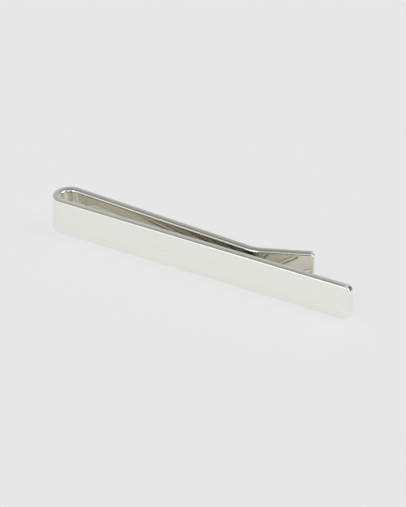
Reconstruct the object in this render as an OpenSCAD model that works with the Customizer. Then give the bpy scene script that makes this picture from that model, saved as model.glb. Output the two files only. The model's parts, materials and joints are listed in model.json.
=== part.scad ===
// Slide-on tie clip: one flat metal strip bent into a hairpin.
// The flat front bar turns back at one end into a springy leg.
// The leg leans in to pinch the cloth, then flares out as a lead-in.
// It stands on its lower edges: X runs along the bar, -Y is the face that is seen in wear, Z is the strip's width.

/* [Strip] */
// Width of the strip, which is the clip's height
strip_w = 6; // [4.5:0.1:9]
// Thickness of the strip
strip_t = 1.4; // [0.8:0.05:2]
// Radius of the polished long edges
edge_r = 0.2; // [0.1:0.05:0.35]

/* [Front bar] */
// Length of the clip from the outside of the return bend to the bar's free end
clip_len = 56.5; // [50:0.5:70]
// Corner radius of the bar's free end, seen from the front
bar_corner_r = 1.2; // [0.5:0.1:2]

/* [Return bend] */
// Clear space inside the bend, between the bar and the start of the leg
bend_gap = 3; // [2:0.1:5]

/* [Spring leg] */
// Length of the straight part of the leg
leg_run = 33.1; // [24:0.1:36]

/* [Pinch bend] */
// Smallest space between the relaxed leg and the bar
pinch_gap = 1.1; // [0.4:0.1:1.8]
// Radius of the bend along the middle of the strip
pinch_r = 6.5; // [3:0.5:10]

/* [Flared tip] */
// Angle between the flared tip and the bar
flare_angle = 22.4; // [12:0.1:35]
// Length of the flared tip
flare_run = 8.4; // [5:0.1:10]
// Corner radius of the tip's free end
tip_corner_r = 0.7; // [0.5:0.1:2]

/* [Hidden] */
$fn = 96;
metal_colour = "silver";

// Return bend: the inner and outer radii of the strip, and the axis that it turns about
bend_inner_r = bend_gap / 2;
bend_outer_r = bend_inner_r + strip_t;
bend_axis = [0, bend_outer_r];

// Pinch bend: the radii of its hollow rear face and its full front face
pinch_rear_r = pinch_r - strip_t / 2;
pinch_front_r = pinch_r + strip_t / 2;

// Angle by which the leg leans towards the bar, from the triangle that puts the pinch at pinch_gap
lean_height = bend_inner_r + pinch_front_r;
lean_rest = pinch_gap - bend_inner_r + pinch_front_r;
lean = acos(lean_rest / norm([lean_height, leg_run])) - atan2(leg_run, lean_height);

// Axis of the pinch bend, and the end edges of the flared tip
function turned(p, angle) = [
  p.x * cos(angle) - p.y * sin(angle),
  p.x * sin(angle) + p.y * cos(angle)
];
pinch_axis = bend_axis + turned([leg_run, bend_inner_r + strip_t / 2 + pinch_r], -lean);
tip_rear_edge = pinch_axis + turned([flare_run - edge_r, -pinch_rear_r - edge_r], flare_angle);
tip_front_edge = pinch_axis + turned([flare_run - edge_r, edge_r - pinch_front_r], flare_angle);

// Length of the bar ahead of the bend's axis, and the outline's reach, which put the origin
// below the middle of the clip
bar_run = clip_len - bend_outer_r;
clip_right = max(bar_run, tip_front_edge.x + edge_r);
clip_rear = max(bend_axis.y + bend_outer_r, tip_rear_edge.y + edge_r);
origin_x = (clip_right - bend_outer_r) / 2;
origin_y = clip_rear / 2;

// Section of the strip: thickness along x, width along y, all four edges rounded
module strip_section() {
  translate([edge_r, 0]) square([strip_t - 2 * edge_r, strip_w]);
  translate([0, edge_r]) square([strip_t, strip_w - 2 * edge_r]);
  for (x = [edge_r, strip_t - edge_r], y = [edge_r, strip_w - edge_r])
    translate([x, y]) circle(r = edge_r);
}

// Straight strip along X, from Y = 0 back
module strip_run(run) {
  rotate([90, 0, 90]) linear_extrude(run) strip_section();
}

// Curved strip about the Z axis, anticlockwise from an angle
module strip_arc(inner_r, from, sweep) {
  rotate_extrude(start = from, angle = sweep) translate([inner_r, 0]) strip_section();
}

// Free end of the strip seen on edge, with its two edges rounded
module end_profile(corner_r) {
  square([corner_r - edge_r, strip_t]);
  translate([0, edge_r]) square([corner_r, strip_t - 2 * edge_r]);
  for (y = [edge_r, strip_t - edge_r])
    translate([corner_r - edge_r, y]) circle(r = edge_r);
}

// Last stretch of a free end, as long as its corner radius: a middle block between two quarter rounds
module round_end(corner_r) {
  translate([0, 0, corner_r]) linear_extrude(strip_w - 2 * corner_r) end_profile(corner_r);
  translate([0, 0, corner_r]) rotate([-90, 0, 0])
    rotate_extrude(start = 0, angle = 90) end_profile(corner_r);
  translate([0, 0, strip_w - corner_r]) rotate([-90, 0, 0])
    rotate_extrude(start = 270, angle = 90) end_profile(corner_r);
}

// Straight strip with a free end
module free_run(run, corner_r) {
  strip_run(run - corner_r);
  translate([run - corner_r, 0, 0]) round_end(corner_r);
}

// Frames that the sections are drawn in: the bar's, the leg's about the return bend, the tip's about the pinch
module bar_frame() {
  translate([-origin_x, -origin_y, 0]) children();
}

module leg_frame() {
  bar_frame() translate(bend_axis) rotate(-lean) children();
}

module tip_frame() {
  bar_frame() translate(pinch_axis) rotate(flare_angle) children();
}

// Flat face of the clip, from the return bend to its rounded free end
module front_bar() {
  color(metal_colour) bar_frame() free_run(bar_run, bar_corner_r);
}

// Half turn that joins the bar to the leg, past the half turn by the leg's lean
module return_bend() {
  color(metal_colour) leg_frame() strip_arc(bend_inner_r, 90, 180 + lean);
}

// Straight leg behind the bar, leaning in towards it
module spring_leg() {
  color(metal_colour) leg_frame() translate([0, bend_inner_r, 0]) strip_run(leg_run);
}

// Bend whose full side faces the bar and holds the cloth against it
module pinch_bend() {
  color(metal_colour) tip_frame() strip_arc(pinch_rear_r, 270 - flare_angle - lean, flare_angle + lean);
}

// Straight lead-in that turns away from the bar, with a rounded free end
module flared_tip() {
  color(metal_colour) tip_frame() translate([0, -pinch_front_r, 0]) free_run(flare_run, tip_corner_r);
}

front_bar();
return_bend();
spring_leg();
pinch_bend();
flared_tip();
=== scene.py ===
"""Looks of the slide-on tie clip: a polished metal strip bent into a hairpin, standing on a pale table."""

import json
import math

import bpy
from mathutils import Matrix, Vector


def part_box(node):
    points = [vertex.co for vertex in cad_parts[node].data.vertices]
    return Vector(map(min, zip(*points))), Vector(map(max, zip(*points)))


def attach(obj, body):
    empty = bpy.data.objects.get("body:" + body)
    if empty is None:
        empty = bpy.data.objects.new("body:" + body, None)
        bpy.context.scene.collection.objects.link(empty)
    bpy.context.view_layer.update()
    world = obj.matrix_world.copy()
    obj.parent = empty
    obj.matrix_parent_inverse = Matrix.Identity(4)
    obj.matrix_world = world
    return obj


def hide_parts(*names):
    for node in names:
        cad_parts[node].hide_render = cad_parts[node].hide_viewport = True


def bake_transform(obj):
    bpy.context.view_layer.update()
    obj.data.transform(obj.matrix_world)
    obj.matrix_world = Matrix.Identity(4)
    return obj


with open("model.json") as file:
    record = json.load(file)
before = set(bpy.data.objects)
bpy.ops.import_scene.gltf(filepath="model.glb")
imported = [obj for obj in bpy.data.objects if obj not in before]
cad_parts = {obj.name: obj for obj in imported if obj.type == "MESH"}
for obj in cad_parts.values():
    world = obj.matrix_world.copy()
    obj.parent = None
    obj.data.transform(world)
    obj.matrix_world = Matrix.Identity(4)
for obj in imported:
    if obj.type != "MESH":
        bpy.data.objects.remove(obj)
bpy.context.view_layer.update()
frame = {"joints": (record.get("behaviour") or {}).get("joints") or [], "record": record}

MM = 0.001

# The strip's sizes that the frame doesn't give, in metres, as in the part's source
BAR_CORNER_R = 1.2 * MM
LEG_RUN = 33.1 * MM
PINCH_GAP = 1.1 * MM
PINCH_R = 6.5 * MM
FLARE_ANGLE = math.radians(22.4)
FLARE_RUN = 8.4 * MM
TIP_CORNER_R = 0.7 * MM

# Taken off the tip, whose skin has a fuller corner than the solid, to stay within the solid's reach
HAIR = 0.008 * MM

# Polished corners of the strip's edge, as their reach across the strip's thickness and down its face, the
# slope of the slight crown between them where it meets them, and how far that crown tips inward on the leg
OUTER_CORNER = (0.22 * MM, 0.18 * MM)
INNER_CORNER = (0.21 * MM, 0.40 * MM)
CROWN_SLOPE = math.radians(4.5)
LEG_CROWN_TIP = math.radians(2.75)

# Fineness of the skins, with the share of a step that is only a rounding error
CORNER_STEPS = 12
CROWN_STEPS = 8
ROUND_STEPS = 20
RUN_STEP = 1 * MM
TURN_STEP = math.radians(1.5)
STEP_SLACK = 1e-6

# Camera: a long lens, above the clip and to the right of its front face
CAMERA_AZIMUTH = math.radians(29.87)
CAMERA_ELEVATION = math.radians(31.55)
CAMERA_DISTANCE = 482 * MM
CAMERA_TARGET = Vector((0.53, -1.735, 3.03)) * MM
CAMERA_LENS_MM = 211.8
CAMERA_FILM_MM = 36
CAMERA_NEAR = 10 * MM
CAMERA_FAR = 20000 * MM

# Colours: the polish, the same where it is scratched, and in the gap tarnish, where no cloth wipes it,
# with painted shade of the narrow gap on top, darkest at the pinch
POLISH = (0.935, 0.94, 0.88, 1)
WORN_POLISH = (0.92, 0.923, 0.862, 1)
BEND_TARNISH_AND_SHADE = (0.83, 0.812, 0.75, 1)
PINCH_TARNISH_AND_SHADE = (0.68, 0.66, 0.60, 1)
TIP_TARNISH_AND_SHADE = (0.87, 0.85, 0.785, 1)

# Hairline scratches along the strip, with the noise levels between which they go from none to full
SCRATCH_LENGTH = 12 * MM
SCRATCH_WIDTH = 0.2 * MM
SCRATCH_DEPTH = 0.00012 * MM
SCRATCH_DETAIL = 3.0
SCRATCH_LEVELS = (0.35, 0.65)
CLEAN_ROUGHNESS = 0.03
SCRATCHED_ROUGHNESS = 0.06

# Faint waves that hand polishing leaves
WAVE_LENGTH = 9 * MM
WAVE_HEIGHT = 0.003 * MM
WAVE_DETAIL = 1.0

# Patches in the tarnish and painted shade, and how far they shift its limits along the clip
PATCH_LENGTH = 5 * MM
PATCH_WIDTH = 2 * MM
PATCH_DETAIL = 2.0
PATCH_SHIFT = 6 * MM
NOISE_MIDDLE = 0.5

# Where along the clip the tarnish and painted shade go from the bend's to the pinch's, where the gap is
# narrowest, and then to the tip's
TARNISH_AND_SHADE_DEEPENS = (-16 * MM, 1 * MM)
TARNISH_AND_SHADE_CLEARS = (8 * MM, 16 * MM)

# Painted shade low on the strip: share of the pinch's colour, and heights where it starts and is full
LOW_PAINTED_SHADE = 0.5
LOW_PAINTED_SHADE_HEIGHTS = (5.2 * MM, 2.8 * MM)

# Where the polish gives way to the inner faces' tarnish and painted shade, as shares of the thickness
# from the strip's middle
INNER_FACE = (-0.35, -0.49)

# Table top, with the share of its brightness that is its own
FLOOR_SIZE = 6000 * MM
FLOOR_GREY = 0.815
FLOOR_GLOW = 0.75

# Band of shade on the table beside the strip, by the share of the sky that is open there, as far as the
# reach: the shares where the band has none and all of its shade, on its outer side and on its inner side
SHADE_REACH = 0.76 * MM
SHADE_SAMPLES = 16
SHADE_OUTER_SIDE = (0.96, 0.86)
SHADE_INNER_SIDE = (0.62, 0.72)

# Limits of that shade: shares of the bar's thickness behind its front face, distances from the bar's free
# end, and places along the clip between which it grows to its full strength from the one near the bend
SHADE_BEHIND_FACE = (0.4, 0.6)
SHADE_OFF_END = (1 * MM, 3 * MM)
SHADE_OFF_BEND = (-19 * MM, -15 * MM)
BEND_SHADE = 0.25

# Light of the studio, where 1 is what a white surface gives back under it. It changes at edges: an axis of
# the direction, and where on it, from -1 to 1, the change starts and ends.
BACK_LOW = 0.95
BACK_MIDDLE = 0.55
BACK_MIDDLE_EDGE = ("up", 0.22, 0.42)
BACK_HIGH_LEFT = 0.15
BACK_HIGH_RIGHT = 0.62
BACK_HIGH_EDGE = ("up", 0.42, 0.75)
BACK_RIGHT_EDGE = ("right", -0.37, -0.31)
CORNER_DARK = 0.06
CORNER_EDGES = (("right", 0.10, 0.35), ("back", 0.25, 0.5), ("up", 0.75, 0.5))
OVERHEAD = 1.2
GAP_HIGH = 0.7
GAP_LOW = 0.12
GAP_EDGE = ("right", -0.36, -0.30)
GAP_LOW_EDGE = ("up", 0.65, 0.4)
RIGHT_FRONT = 0.9
RIGHT_FRONT_EDGE = ("right", 0.30, 0.42)
FRONT_EDGE = ("back", 0.52, 0.0)

# Panels and soft boxes over the rest of the light, each its brightness and then its edges
LEFT_FRONT_PANEL = (0.5, ("right", -0.37, -0.52), ("back", -0.4, -0.8))
LEFT_PANEL = (0.75, ("right", -0.55, -0.7), ("back", -0.5, -0.2))
RIGHT_DARK_PANEL = (0.25, ("right", 0.38, 0.48), ("back", -0.42, -0.32))
RIGHT_PANEL = (2.2, ("right", 0.72, 0.85), ("back", 0.0, 0.15))
FRONT_BOX = (
    2.6,
    ("right", -0.34, -0.26),
    ("right", 0.1, 0.0),
    ("back", -0.55, -0.68),
    ("up", 0.15, 0.25),
)
BACK_BOX = (
    3.0,
    ("right", 0.34, 0.46),
    ("right", 0.85, 0.72),
    ("back", 0.0, 0.12),
    ("back", 0.72, 0.6),
    ("up", 0.3, 0.4),
)
PANELS = (LEFT_FRONT_PANEL, LEFT_PANEL, RIGHT_DARK_PANEL, RIGHT_PANEL, FRONT_BOX, BACK_BOX)

# Bounces of the light, which goes many times between the inner faces, and no blur of what they reflect
MOST_BOUNCES = 32
MIRROR_BOUNCES = 24
SOFT_BOUNCES = 8
MIRROR_BLUR = 0.0


def make_camera():
    """The photograph's view of the clip."""
    data = bpy.data.cameras.new("camera")
    data.lens = CAMERA_LENS_MM
    data.sensor_width = CAMERA_FILM_MM
    data.clip_start = CAMERA_NEAR
    data.clip_end = CAMERA_FAR
    camera = bpy.data.objects.new("camera", data)
    bpy.context.scene.collection.objects.link(camera)
    towards_camera = Vector((
        math.sin(CAMERA_AZIMUTH) * math.cos(CAMERA_ELEVATION),
        -math.cos(CAMERA_AZIMUTH) * math.cos(CAMERA_ELEVATION),
        math.sin(CAMERA_ELEVATION),
    ))
    camera.location = CAMERA_TARGET + towards_camera * CAMERA_DISTANCE
    camera.rotation_euler = towards_camera.to_track_quat("Z", "Y").to_euler()
    bpy.context.scene.camera = camera


make_camera()


class Section:
    """One stretch of the strip's middle surface from above: straight, or bent by turn radians to the left.

    It starts at (x, y) and runs along heading. A point on it is given by how far along it is, and by how
    far it lies to the left, which is outward everywhere on the hairpin. before is the strip's length up
    to it.
    """

    def __init__(self, x, y, heading, length, turn=0.0, before=0.0):
        self.x, self.y, self.heading = x, y, heading
        self.length, self.turn, self.before = length, turn, before

    def heading_at(self, along):
        return self.heading + self.turn * along / self.length

    def point(self, along, left):
        here = self.heading_at(along)
        if not self.turn:
            x = self.x + along * math.cos(here) - left * math.sin(here)
            y = self.y + along * math.sin(here) + left * math.cos(here)
            return x, y
        radius = self.length / self.turn
        x = self.x - radius * math.sin(self.heading) + (radius - left) * math.sin(here)
        y = self.y + radius * math.cos(self.heading) - (radius - left) * math.cos(here)
        return x, y

    def next(self, length, turn=0.0):
        """The section that runs on from this one's end."""
        x, y = self.point(self.length, 0)
        return Section(x, y, self.heading_at(self.length), length, turn, self.before + self.length)


# The strip's sizes that the frame gives
bar_low, bar_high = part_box("front_bar")
strip_w = bar_high.z - bar_low.z
strip_t = bar_high.y - bar_low.y
bend_x, bend_y = frame["joints"][0]["pos_m"][:2]
bend_inner_r = bend_y - bar_high.y
bend_middle_r = bend_inner_r + strip_t / 2

# The leg's lean towards the bar, which puts the pinch at its gap
lean_height = bend_inner_r + PINCH_R + strip_t / 2
lean_rest = PINCH_GAP - bend_inner_r + PINCH_R + strip_t / 2
lean = math.acos(lean_rest / math.hypot(lean_height, LEG_RUN)) - math.atan2(LEG_RUN, lean_height)

# The hairpin from the bar's free end to the tip, in its five sections
bar_path = Section(bar_high.x, (bar_low.y + bar_high.y) / 2, math.pi, bar_high.x - bend_x)
bend_path = bar_path.next(bend_middle_r * (math.pi + lean), -math.pi - lean)
leg_path = bend_path.next(LEG_RUN)
pinch_path = leg_path.next(PINCH_R * (lean + FLARE_ANGLE), lean + FLARE_ANGLE)
tip_path = pinch_path.next(FLARE_RUN - HAIR)


def spread(start, end, step):
    """Even stations from start to end, at most step apart."""
    count = max(1, math.ceil(abs(end - start) / step - STEP_SLACK))
    return [start + (end - start) * i / count for i in range(count + 1)]


def lower_outline(path, free_end, corner_r):
    """The strip's lower edge, as (along, z, the outward direction along, the outward direction up).

    At a free end, which is "start", "end" or None, it runs round the corner to the upright edge.
    """
    step = RUN_STEP if not path.turn else TURN_STEP * abs(path.length / path.turn)
    reach = path.length - corner_r if free_end else path.length
    outline = [(along, 0.0, 0.0, -1.0) for along in spread(0.0, reach, step)]
    corner_steps = ROUND_STEPS if free_end else 0
    for i in range(1, corner_steps + 1):
        angle = math.pi / 2 * i / ROUND_STEPS
        out, down = math.sin(angle), math.cos(angle)
        outline.append((reach + corner_r * out, corner_r - corner_r * down, out, -down))
    if free_end == "start":
        outline = [(path.length - along, z, -out, up) for along, z, out, up in reversed(outline)]
    return outline


def crown_tip(before):
    """How far the edge's crown tips inward, this far along the strip: not on the bar, all on the leg."""
    return LEG_CROWN_TIP * min(1, max(0, (before - bend_path.before) / bend_path.length))


def corner_depth(reach, angle):
    """How deep a corner lies below its face and below its top, where it faces angle from its face."""
    across, down = reach
    turn = math.atan2(down * math.sin(angle), across * math.cos(angle))
    return across * (1 - math.cos(turn)), down * (1 - math.sin(turn))


def edge_profile(tip):
    """Across the strip's edge from the outer face to the inner one, with its crown tipped inward by tip.

    It is a list of (inset, left, out, leftward): how far the point lies inside the outline and to the left
    of the strip's middle, and the shares of its direction that point out of the outline and to the left.
    """
    upright = math.pi / 2
    outer_slope, inner_slope = CROWN_SLOPE - tip, CROWN_SLOPE + tip
    outer_across, outer_down = corner_depth(OUTER_CORNER, upright - outer_slope)
    inner_across, inner_down = corner_depth(INNER_CORNER, upright - inner_slope)
    crown_r = (strip_t - outer_across - inner_across) / (math.sin(outer_slope) + math.sin(inner_slope))
    crown_left = strip_t / 2 - outer_across - crown_r * math.sin(outer_slope)
    profile = []
    for i in range(CORNER_STEPS + 1):
        angle = (upright - outer_slope) * i / CORNER_STEPS
        across, down = corner_depth(OUTER_CORNER, angle)
        drop = crown_r * (1 - math.cos(outer_slope)) - outer_down
        profile.append((angle, down + drop, strip_t / 2 - across))
    for i in range(1, CROWN_STEPS):
        slope = -outer_slope + (outer_slope + inner_slope) * i / CROWN_STEPS
        left = crown_left - crown_r * math.sin(slope)
        profile.append((upright + slope, crown_r * (1 - math.cos(slope)), left))
    for i in range(CORNER_STEPS, -1, -1):
        angle = (upright - inner_slope) * i / CORNER_STEPS
        across, down = corner_depth(INNER_CORNER, angle)
        drop = crown_r * (1 - math.cos(inner_slope)) - inner_down
        profile.append((math.pi - angle, down + drop, across - strip_t / 2))
    return [(inset, left, math.sin(angle), math.cos(angle)) for angle, inset, left in profile]


def skin_points(path, outline, profiles):
    """The skin's points, the directions that they face and, in a flat list, their places on the strip.

    The lower half's points come first, column by column along the outline, and then the upper half's.
    """
    points, directions, places = [], [], []
    for upper in (False, True):
        for (along, z, out_along, out_up), profile in zip(outline, profiles):
            for inset, left, out, leftward in profile:
                at = along - inset * out_along
                height = z - inset * out_up
                rise = out * out_up
                if upper:
                    height, rise = strip_w - height, -rise
                x, y = path.point(at, left)
                heading = path.heading_at(at)
                forward = out * out_along
                points.append((x, y, height))
                places += (path.before + at, height, left)
                directions.append((
                    forward * math.cos(heading) - leftward * math.sin(heading),
                    forward * math.sin(heading) + leftward * math.cos(heading),
                    rise,
                ))
    return points, directions, places


def skin_faces(path, columns, rows, free_end):
    """The skin's faces, each as its corners and the one direction that shades all of it.

    The direction is None where the corners' own directions shade the face. Only the flat ends have one.
    """

    def corner(half, column, row):
        return (half * columns + column) * rows + row

    faces = []
    last = rows - 1
    for half in (0, 1):
        for i in range(columns - 1):
            for j in range(last):
                corners = [corner(half, i, j), corner(half, i + 1, j)]
                corners += [corner(half, i + 1, j + 1), corner(half, i, j + 1)]
                faces.append((corners[::-1] if half else corners, None))
    for i in range(columns - 1):
        faces.append(([corner(1, i, 0), corner(1, i + 1, 0), corner(0, i + 1, 0), corner(0, i, 0)], None))
        corners = [corner(0, i, last), corner(0, i + 1, last)]
        corners += [corner(1, i + 1, last), corner(1, i, last)]
        faces.append((corners, None))
    for end, column in (("start", 0), ("end", columns - 1)):
        backward = end == "end"
        lower = [corner(0, column, j) for j in range(rows)]
        upper = [corner(1, column, j) for j in range(rows)]
        if end == free_end:
            for j in range(last):
                corners = [lower[j], lower[j + 1], upper[j + 1], upper[j]]
                faces.append((corners[::-1] if backward else corners, None))
        else:
            ring = lower + upper[::-1]
            heading = path.heading_at(path.length) if backward else path.heading_at(0) + math.pi
            facing = (math.cos(heading), math.sin(heading), 0.0)
            faces.append((ring[::-1] if backward else ring, facing))
    return faces


def make_skin(name, path, free_end=None, corner_r=0.0):
    """A closed skin of one section, with round edges, and with its exact directions as its shading.

    Its attribute strip holds each point's place on the straightened strip: how far along, how high and
    how far out.
    """
    outline = lower_outline(path, free_end, corner_r)
    profiles = [edge_profile(crown_tip(path.before + along)) for along, *rest in outline]
    points, directions, places = skin_points(path, outline, profiles)
    faces = skin_faces(path, len(outline), len(profiles[0]), free_end)
    shading = [facing or directions[corner] for corners, facing in faces for corner in corners]
    mesh = bpy.data.meshes.new(name)
    mesh.from_pydata(points, [], [corners for corners, facing in faces])
    mesh.validate()
    mesh.polygons.foreach_set("use_smooth", [True] * len(mesh.polygons))
    mesh.normals_split_custom_set(shading)
    mesh.attributes.new("strip", "FLOAT_VECTOR", "POINT").data.foreach_set("vector", places)
    mesh.update()
    piece = bpy.data.objects.new(name, mesh)
    bpy.context.scene.collection.objects.link(piece)
    return piece


class Shading:
    """Short ways to add nodes to a material or a world."""

    def __init__(self, owner):
        owner.use_nodes = True
        self.nodes, self.links = owner.node_tree.nodes, owner.node_tree.links

    def put(self, socket, value):
        """value is a number, a colour or another node's output."""
        if isinstance(value, bpy.types.NodeSocket):
            self.links.new(value, socket)
        else:
            socket.default_value = value

    def axes(self, vector):
        """The outputs X, Y and Z of another node's vector."""
        node = self.nodes.new("ShaderNodeSeparateXYZ")
        self.put(node.inputs["Vector"], vector)
        return node.outputs

    def ramp(self, source, start, end):
        """From 0 to 1 as source goes from start to end, smoothly."""
        node = self.nodes.new("ShaderNodeMapRange")
        node.interpolation_type = "SMOOTHSTEP"
        self.put(node.inputs["From Min"], start)
        self.put(node.inputs["From Max"], end)
        self.put(node.inputs["Value"], source)
        return node.outputs["Result"]

    def math(self, operation, first, second):
        node = self.nodes.new("ShaderNodeMath")
        node.operation = operation
        self.put(node.inputs[0], first)
        self.put(node.inputs[1], second)
        return node.outputs["Value"]

    def times(self, *factors):
        product = factors[0]
        for factor in factors[1:]:
            product = self.math("MULTIPLY", product, factor)
        return product

    def noise(self, place, size, detail):
        """Noise whose features are about size long along each axis of place."""
        mapping = self.nodes.new("ShaderNodeMapping")
        self.put(mapping.inputs["Vector"], place)
        self.put(mapping.inputs["Scale"], [1 / length for length in size])
        texture = self.nodes.new("ShaderNodeTexNoise")
        self.put(texture.inputs["Vector"], mapping.outputs["Vector"])
        self.put(texture.inputs["Scale"], 1.0)
        self.put(texture.inputs["Detail"], detail)
        return texture.outputs[0]

    def blend(self, factor, first, second):
        """From first to second, which are both levels or both colours, as factor goes from 0 to 1."""
        node = self.nodes.new("ShaderNodeMix")
        level = not isinstance(first, tuple) and getattr(second, "type", "VALUE") == "VALUE"
        level = level and not isinstance(second, tuple)
        node.data_type = "FLOAT" if level else "RGBA"
        self.put(node.inputs["Factor"], factor)
        self.put(node.inputs["A"], first)
        self.put(node.inputs["B"], second)
        return node.outputs["Result"]


def tarnish_and_shade_colour(tree, height, patches):
    """Tarnish with painted shade: deeper from the bend to the pinch, clearer towards the tip, in patches,
    and painted shade deeper low down.
    """
    place = tree.nodes.new("ShaderNodeTexCoord")
    along = tree.axes(place.outputs["Object"])["X"]
    shift = tree.times(tree.math("SUBTRACT", patches, NOISE_MIDDLE), PATCH_SHIFT)
    x = tree.math("ADD", along, shift)
    # Tarnish with painted shade of the gap, darkest at the pinch and clearer towards the tip
    tarnish_and_shade = tree.blend(tree.ramp(x, *TARNISH_AND_SHADE_DEEPENS), BEND_TARNISH_AND_SHADE, PINCH_TARNISH_AND_SHADE)
    tarnish_and_shade = tree.blend(tree.ramp(x, *TARNISH_AND_SHADE_CLEARS), tarnish_and_shade, TIP_TARNISH_AND_SHADE)
    # Painted shade: the strip darker towards its bottom
    low = tree.times(tree.ramp(height, *LOW_PAINTED_SHADE_HEIGHTS), LOW_PAINTED_SHADE)
    return tree.blend(low, tarnish_and_shade, PINCH_TARNISH_AND_SHADE)


def polished_metal():
    """Mirror-polished silvery plating, duller on the inner faces with tarnish and painted shade, most of
    all near the pinch.
    """
    material = bpy.data.materials.new("polished_metal")
    tree = Shading(material)
    shader = tree.nodes["Principled BSDF"]
    strip = tree.nodes.new("ShaderNodeAttribute")
    strip.attribute_name = "strip"
    place = strip.outputs["Vector"]
    axes = tree.axes(place)

    scratches = tree.noise(place, (SCRATCH_LENGTH, SCRATCH_WIDTH, SCRATCH_WIDTH), SCRATCH_DETAIL)
    waves = tree.noise(place, (WAVE_LENGTH, WAVE_LENGTH, WAVE_LENGTH), WAVE_DETAIL)
    patches = tree.noise(place, (PATCH_LENGTH, PATCH_WIDTH, PATCH_WIDTH), PATCH_DETAIL)
    scratched = tree.ramp(scratches, *SCRATCH_LEVELS)
    inner = tree.ramp(axes["Z"], *[share * strip_t for share in INNER_FACE])

    polish = tree.blend(scratched, POLISH, WORN_POLISH)
    colour = tree.blend(inner, polish, tarnish_and_shade_colour(tree, axes["Y"], patches))
    tree.put(shader.inputs["Base Color"], colour)
    tree.put(shader.inputs["Metallic"], 1.0)
    roughness = tree.blend(scratched, CLEAN_ROUGHNESS, SCRATCHED_ROUGHNESS)
    tree.put(shader.inputs["Roughness"], roughness)

    bump = tree.nodes.new("ShaderNodeBump")
    height = tree.math("ADD", waves, tree.times(scratches, SCRATCH_DEPTH / WAVE_HEIGHT))
    tree.put(bump.inputs["Height"], height)
    tree.put(bump.inputs["Distance"], WAVE_HEIGHT)
    tree.put(shader.inputs["Normal"], bump.outputs["Normal"])
    return material


metal = polished_metal()
skins = {
    "front_bar": make_skin("front_bar_skin", bar_path, "start", BAR_CORNER_R),
    "return_bend": make_skin("return_bend_skin", bend_path),
    "spring_leg": make_skin("spring_leg_skin", leg_path),
    "pinch_bend": make_skin("pinch_bend_skin", pinch_path),
    "flared_tip": make_skin("flared_tip_skin", tip_path, "end", TIP_CORNER_R),
}
bodies = frame["record"]["behaviour"]["bodies"]
for node, skin in skins.items():
    skin.data.materials.append(metal)
    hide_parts(node)
    if node == "return_bend":
        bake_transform(skin)
    else:
        body = next(name for name, members in bodies.items() if node in members)
        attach(skin, body)


def shade_beside_strip(tree):
    """How far the table's own brightness is dimmed in a narrow band beside the strip, from 0 to 1.

    It lies behind the middle of the bar's thickness, and beside the leg and the tip in every pose. It is
    faint near the bend and stops short of the bar's free end.
    """
    place = tree.axes(tree.nodes.new("ShaderNodeTexCoord").outputs["Object"])
    sky = tree.nodes.new("ShaderNodeAmbientOcclusion")
    sky.samples = SHADE_SAMPLES
    tree.put(sky.inputs["Distance"], SHADE_REACH)
    near = tree.ramp(sky.outputs["AO"], *SHADE_OUTER_SIDE)
    apart = tree.ramp(sky.outputs["AO"], *SHADE_INNER_SIDE)
    behind = tree.ramp(place["Y"], *[bar_low.y + strip_t * share for share in SHADE_BEHIND_FACE])
    off_bend = tree.blend(tree.ramp(place["X"], *SHADE_OFF_BEND), BEND_SHADE, 1.0)
    off_end = tree.ramp(place["X"], *[bar_high.x - distance for distance in SHADE_OFF_END])
    return tree.times(near, apart, behind, off_bend, off_end)


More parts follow.
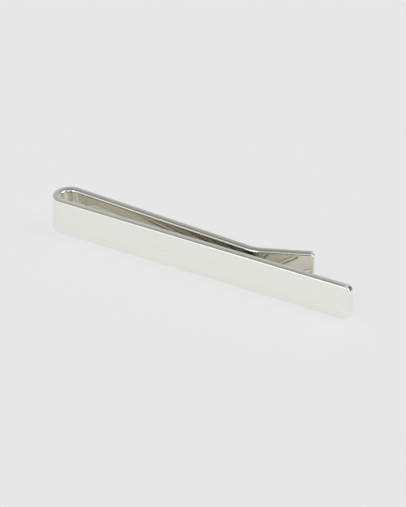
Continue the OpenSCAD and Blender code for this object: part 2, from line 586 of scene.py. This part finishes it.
def make_floor():
    """A plain pale table top.

    Most of the brightness that the camera and the metal see is its own, so that the clip's shadow on it is
    soft. The metal sees that brightness dimmed beside the strip, as it is on a table under a real clip.
    """
    bpy.ops.mesh.primitive_plane_add(size=FLOOR_SIZE)
    floor = bpy.context.object
    floor.name = "floor"
    material = bpy.data.materials.new("floor")
    tree = Shading(material)
    shader = tree.nodes["Principled BSDF"]
    ray = tree.nodes.new("ShaderNodeLightPath").outputs
    seen = tree.math("MAXIMUM", ray["Is Camera Ray"], ray["Is Glossy Ray"])
    seen = tree.math("MAXIMUM", seen, ray["Is Transmission Ray"])
    clear = tree.math("SUBTRACT", 1.0, shade_beside_strip(tree))
    clear = tree.math("MAXIMUM", ray["Is Camera Ray"], clear)
    grey = (FLOOR_GREY, FLOOR_GREY, FLOOR_GREY, 1)
    lit = FLOOR_GREY * (1 - FLOOR_GLOW)
    tree.put(shader.inputs["Base Color"], tree.blend(seen, grey, (lit, lit, lit, 1)))
    tree.put(shader.inputs["Emission Color"], (1, 1, 1, 1))
    tree.put(shader.inputs["Emission Strength"], tree.times(seen, clear, FLOOR_GREY * FLOOR_GLOW))
    tree.put(shader.inputs["Roughness"], 1.0)
    tree.put(shader.inputs["Specular IOR Level"], 0.0)
    floor.data.materials.append(material)


def make_world():
    """Studio light by direction: pale overhead and in front, darker high up behind, with panels over it."""
    world = bpy.data.worlds.new("studio")
    bpy.context.scene.world = world
    tree = Shading(world)
    direction = tree.nodes.new("ShaderNodeTexCoord")
    outputs = tree.axes(direction.outputs["Generated"])
    axes = {"right": outputs["X"], "back": outputs["Y"], "up": outputs["Z"]}

    def past(first, second, *edges):
        """second where the direction is past all of the edges, and first elsewhere."""
        ramps = [tree.ramp(axes[axis], start, end) for axis, start, end in edges]
        return tree.blend(tree.times(*ramps), first, second)

    behind = past(BACK_LOW, BACK_MIDDLE, BACK_MIDDLE_EDGE)
    high = past(BACK_HIGH_LEFT, BACK_HIGH_RIGHT, BACK_RIGHT_EDGE)
    behind = past(behind, high, BACK_HIGH_EDGE)
    behind = past(behind, CORNER_DARK, *CORNER_EDGES)
    gap = past(GAP_HIGH, GAP_LOW, GAP_LOW_EDGE)
    ahead = past(OVERHEAD, gap, GAP_EDGE)
    ahead = past(ahead, RIGHT_FRONT, RIGHT_FRONT_EDGE)
    level = past(behind, ahead, FRONT_EDGE)
    for brightness, *edges in PANELS:
        level = past(level, brightness, *edges)
    tree.put(tree.nodes["Background"].inputs["Color"], level)
    tree.put(tree.nodes["Background"].inputs["Strength"], 1.0)


make_floor()
make_world()
scene = bpy.context.scene
scene.view_settings.view_transform = "Standard"
scene.cycles.max_bounces = MOST_BOUNCES
scene.cycles.glossy_bounces = MIRROR_BOUNCES
scene.cycles.diffuse_bounces = SOFT_BOUNCES
scene.cycles.blur_glossy = MIRROR_BLUR
